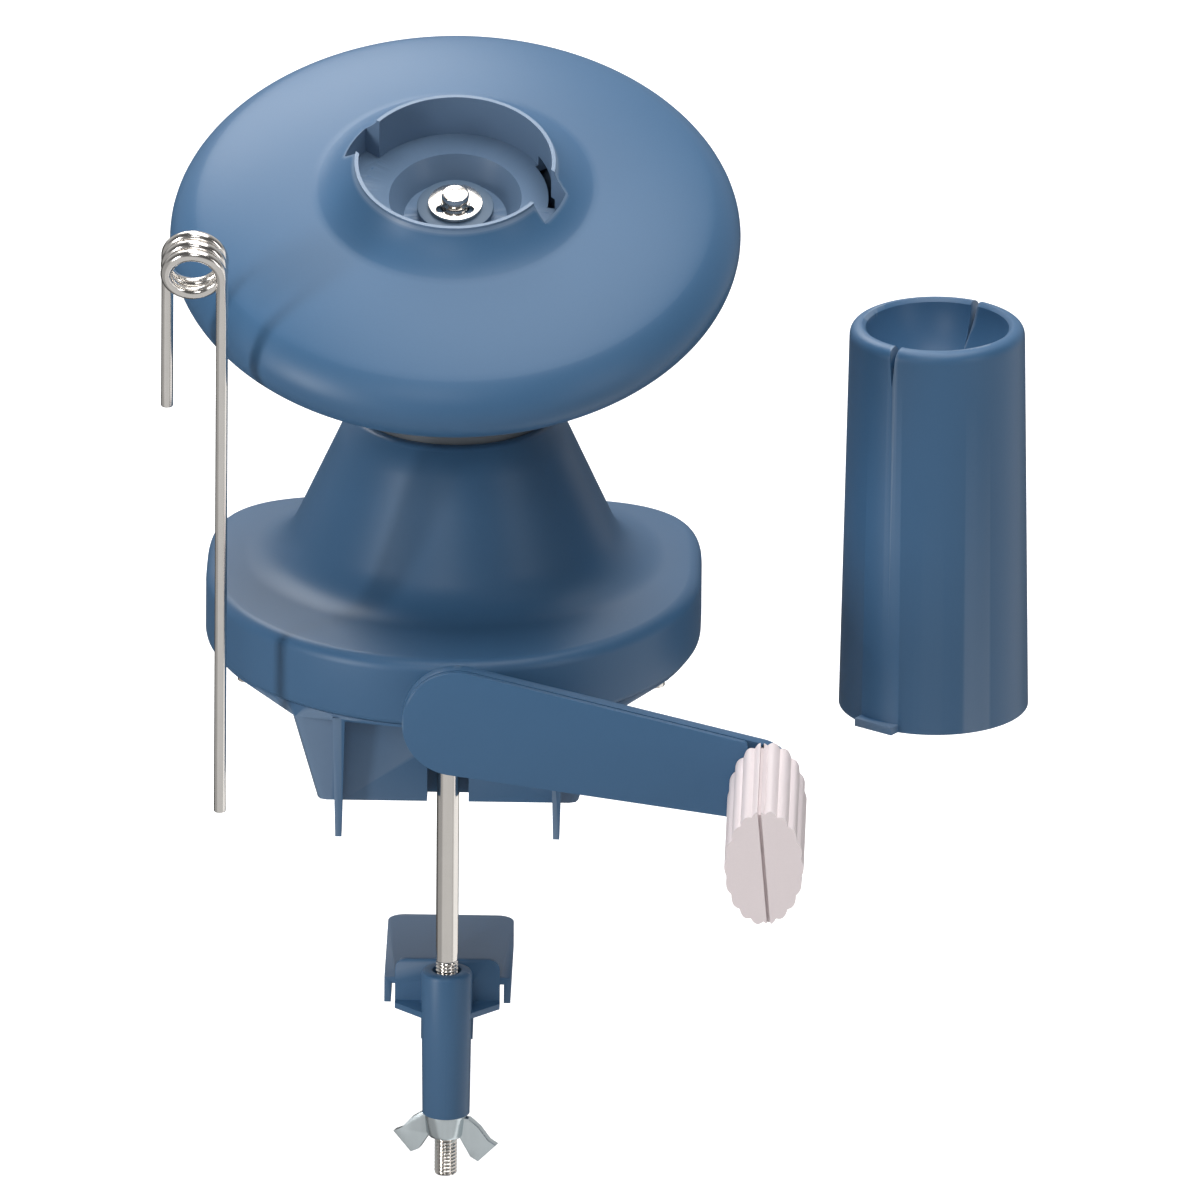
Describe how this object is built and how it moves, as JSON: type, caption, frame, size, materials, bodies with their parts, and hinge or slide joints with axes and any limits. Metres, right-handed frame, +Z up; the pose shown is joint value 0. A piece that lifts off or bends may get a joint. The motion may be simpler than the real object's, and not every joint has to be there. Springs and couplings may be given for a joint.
{
  "type": "yarn ball winder",
  "caption": "Hand-cranked yarn ball winder: tilted winding disc on a geared head, crank with a grip, screw clamp for a table edge, separate bobbin and bent wire yarn guide.",
  "frame": {"origin": "underside of the foot, on the upright rotor axis: the plane that rests on the table top", "axes": "+Z up along the rotor axis, -Y towards the crank and the clamp rod, +X to the side of the bobbin"},
  "size_m": [0.2297, 0.2011, 0.2832],
  "materials": {
    "slate_plastic": "moulded, satin, slate blue",
    "dark_plastic": "moulded, satin, near black",
    "white_plastic": "moulded, natural white",
    "grip_plastic": "moulded, fluted, off white",
    "bright_steel": "bright drawn",
    "zinc_plate": "zinc plated"
  },
  "bodies": {
    "base": {"body_shell": "slate_plastic", "base_housing": "slate_plastic", "neck_bearing_ring": "white_plastic", "foot_bush": "white_plastic", "front_crank_bush": "white_plastic", "rear_crank_bush": "white_plastic", "clamp_rod": "bright_steel", "rod_anchor_nut": "zinc_plate", "base_screw_1": "bright_steel", "base_screw_2": "bright_steel", "base_screw_3": "bright_steel", "base_screw_4": "bright_steel"},
    "crank": {"crank_shaft": "bright_steel", "crown_wheel": "white_plastic", "shaft_collar": "bright_steel", "crank_arm": "slate_plastic", "crank_cover": "slate_plastic", "crank_screw": "bright_steel", "grip_pin": "bright_steel"},
    "handle": {"grip": "grip_plastic"},
    "head": {"rotor_head": "dark_plastic", "rotor_pinion": "white_plastic", "arbor": "bright_steel", "retaining_clip": "bright_steel"},
    "shaft": {"drive_shaft": "bright_steel", "drive_pinion": "white_plastic", "sun_bevel_gear": "white_plastic"},
    "disc": {"winding_disc": "slate_plastic", "disc_bevel_gear": "white_plastic", "upper_hub_bush": "slate_plastic", "lower_hub_bush": "white_plastic"},
    "jaw": {"clamp_jaw": "slate_plastic"},
    "nut": {"wing_nut": "zinc_plate"},
    "bobbin": {"bobbin": "slate_plastic"},
    "guide": {"yarn_guide": "bright_steel"}
  },
  "joints": [
    {"name": "crank_turn", "type": "hinge", "parent": "base", "child": "crank", "pos_m": [0, -0.0895, 0.0342], "axis": [0, 1, 0], "continuous": true},
    {"name": "grip_spin", "type": "hinge", "parent": "crank", "child": "handle", "pos_m": [0.08514, -0.1, 0.014], "axis": [0, 1, 0], "continuous": true},
    {"name": "head_turn", "type": "hinge", "parent": "base", "child": "head", "pos_m": [0, 0, 0.08], "axis": [0, 0, 1], "continuous": true},
    {"name": "shaft_turn", "type": "hinge", "parent": "base", "child": "shaft", "pos_m": [0, 0, 0.05], "axis": [0, 0, 1], "continuous": true},
    {"name": "disc_spin", "type": "hinge", "parent": "head", "child": "disc", "pos_m": [0, 0, 0.1], "axis": [0, -0.3616, 0.9323], "continuous": true},
    {"name": "jaw_slide", "type": "slide", "parent": "base", "child": "jaw", "axis": [0, 0, 1], "range_m": [-0.008, 0.04]},
    {"name": "nut_turn", "type": "hinge", "parent": "jaw", "child": "nut", "pos_m": [0, -0.0625, -0.093], "axis": [0, 0, 1], "range_deg": [-2880, 14400]},
    {"name": "bobbin_lift", "type": "slide", "parent": "base", "child": "bobbin", "axis": [0, 0, 1], "range_m": [0, 0.13]},
    {"name": "guide_lift", "type": "slide", "parent": "base", "child": "guide", "axis": [0, 0, 1], "range_m": [0, 0.18]}
  ],
  "couplings": [
    {"joint": "head_turn", "follows": "crank_turn", "ratio": 2.9167},
    {"joint": "shaft_turn", "follows": "crank_turn", "ratio": 3},
    {"joint": "disc_spin", "follows": "crank_turn", "ratio": 0.083333},
    {"joint": "jaw_slide", "follows": "nut_turn", "m_per_rad": 0.00015915}
  ]
}
